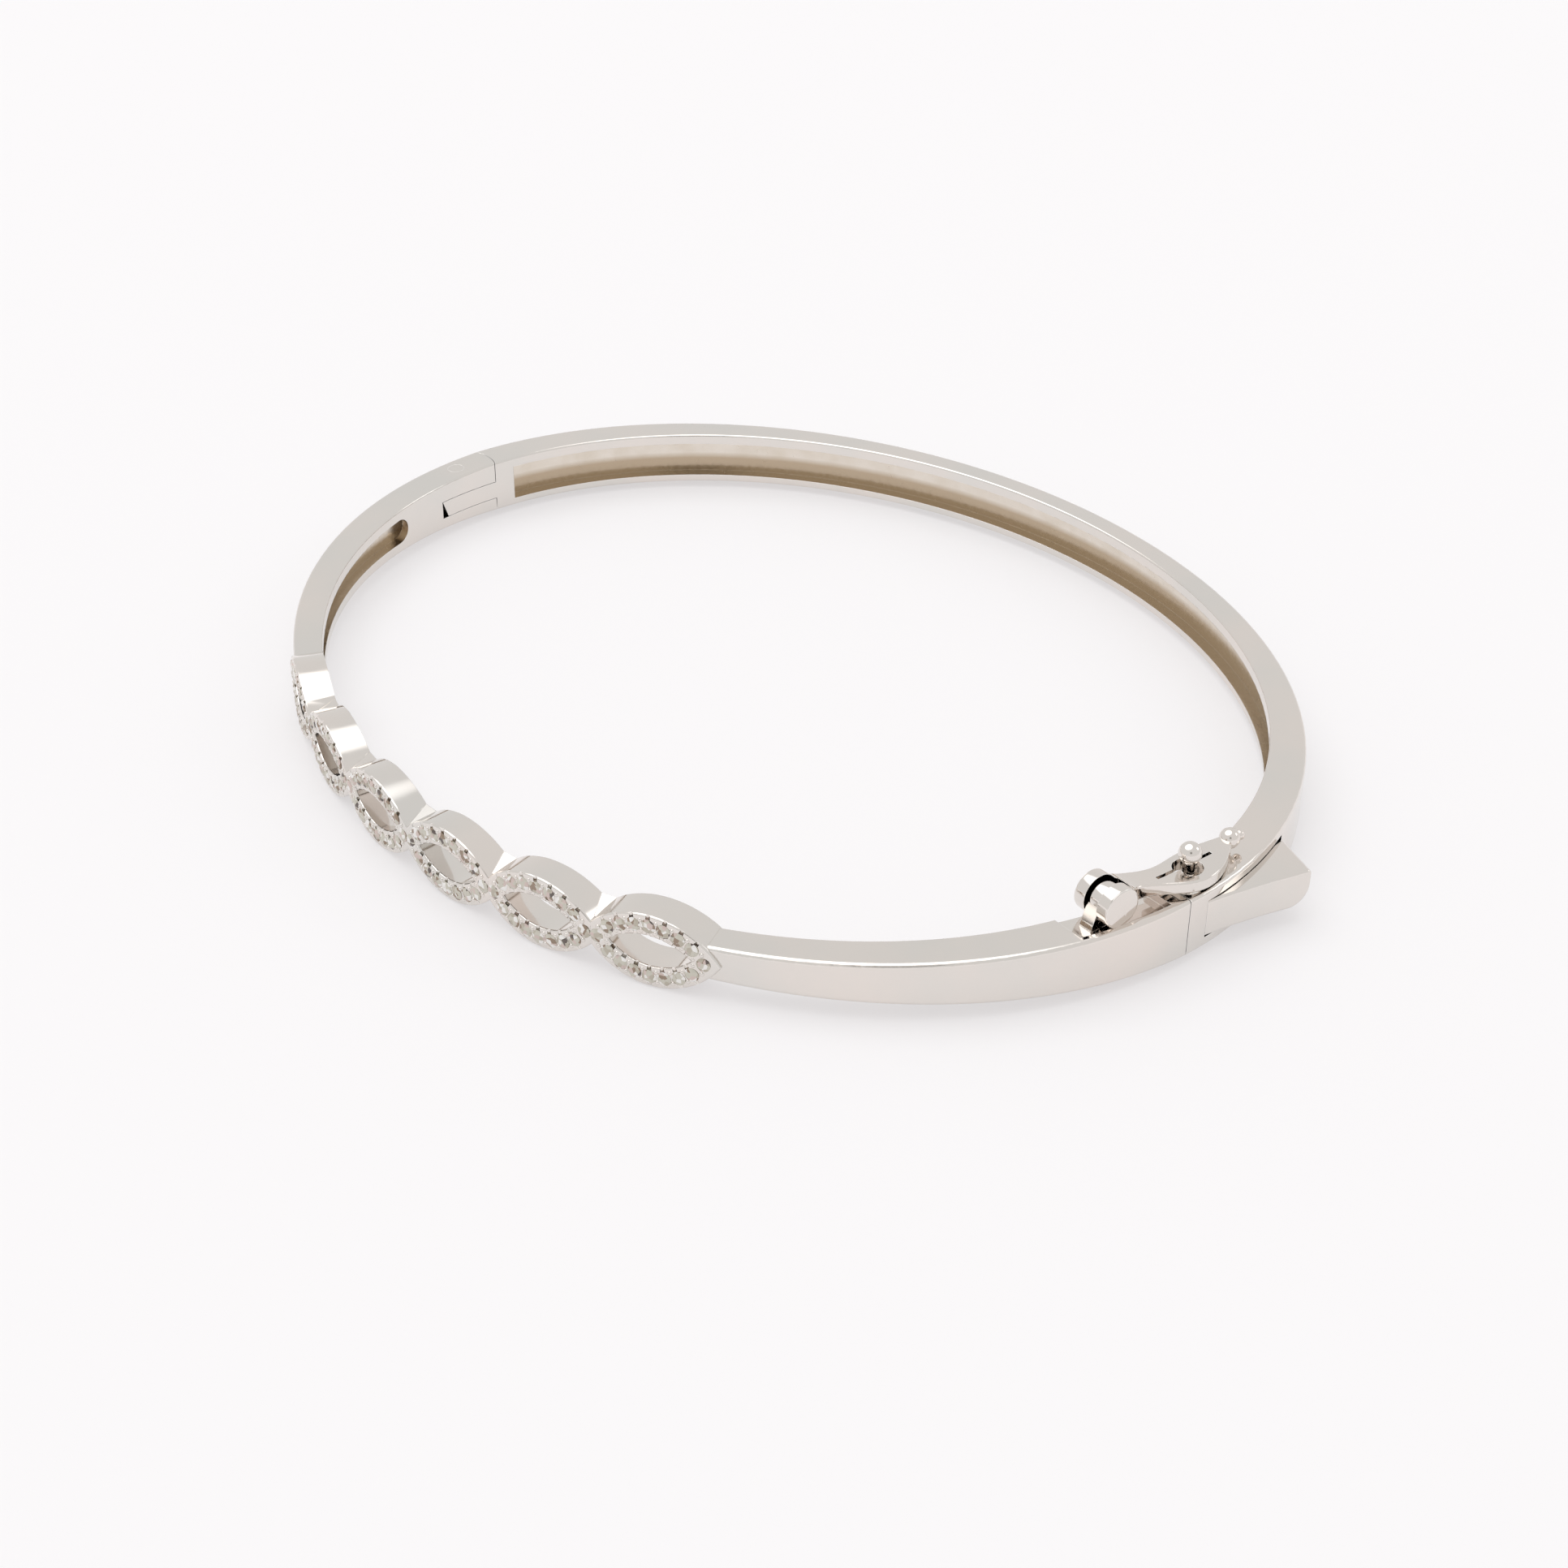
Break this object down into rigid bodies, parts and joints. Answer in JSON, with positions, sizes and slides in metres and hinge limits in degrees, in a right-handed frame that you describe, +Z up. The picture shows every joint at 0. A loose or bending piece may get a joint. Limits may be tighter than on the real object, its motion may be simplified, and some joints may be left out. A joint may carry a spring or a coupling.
{
  "type": "hinged bangle bracelet",
  "caption": "Slender oval hinged bangle with a front run of open marquise links set with small stones, a thumb-tab spring clasp and a figure-8 safety catch.",
  "frame": {"origin": "centre of the oval wrist opening, at mid height of the band", "axes": "+X along the long axis of the oval, from the hinge to the clasp; +Z up, along the wrist; the decorated front half lies towards -Y"},
  "size_m": [0.0628, 0.0498, 0.0058],
  "materials": {
    "band_metal": "high polish",
    "link_metal": "polished, cast and bead set",
    "catch_metal": "high polish",
    "spring_metal": "satin",
    "stone": "faceted"
  },
  "bodies": {
    "rear_half": {"rear_band": "band_metal", "ball_stud": "catch_metal", "leaf_root": "spring_metal"},
    "front_half": {"hinge_arm": "band_metal", "hinge_rivet": "band_metal", "link_bridges": "link_metal", "clasp_arm": "band_metal", "catch_post": "catch_metal", "catch_pin": "catch_metal", "link_1": "link_metal", "link_2": "link_metal", "link_3": "link_metal", "link_4": "link_metal", "link_5": "link_metal", "link_6": "link_metal", "stones_1": "stone", "stones_2": "stone", "stones_3": "stone", "stones_4": "stone", "stones_5": "stone", "stones_6": "stone"},
    "safety_catch": {"safety_latch": "catch_metal"},
    "thumb_tongue": {"spring_leaf": "spring_metal", "thumb_tab": "band_metal"}
  },
  "joints": [
    {"name": "bangle_hinge", "type": "hinge", "parent": "rear_half", "child": "front_half", "pos_m": [-0.02963, -0.0026, 0], "axis": [0, 0, -1], "range_deg": [0, 65]},
    {"name": "safety_catch_lift", "type": "hinge", "parent": "front_half", "child": "safety_catch", "pos_m": [0.02908, -0.0034, 0.00235], "axis": [1, 0, 0], "range_deg": [0, 120]},
    {"name": "thumb_press", "type": "hinge", "parent": "rear_half", "child": "thumb_tongue", "pos_m": [0.02945, -0.00345, 0], "axis": [0, 0, 1], "range_deg": [0, 5], "stiffness_Nm_per_rad": 0.05}
  ]
}
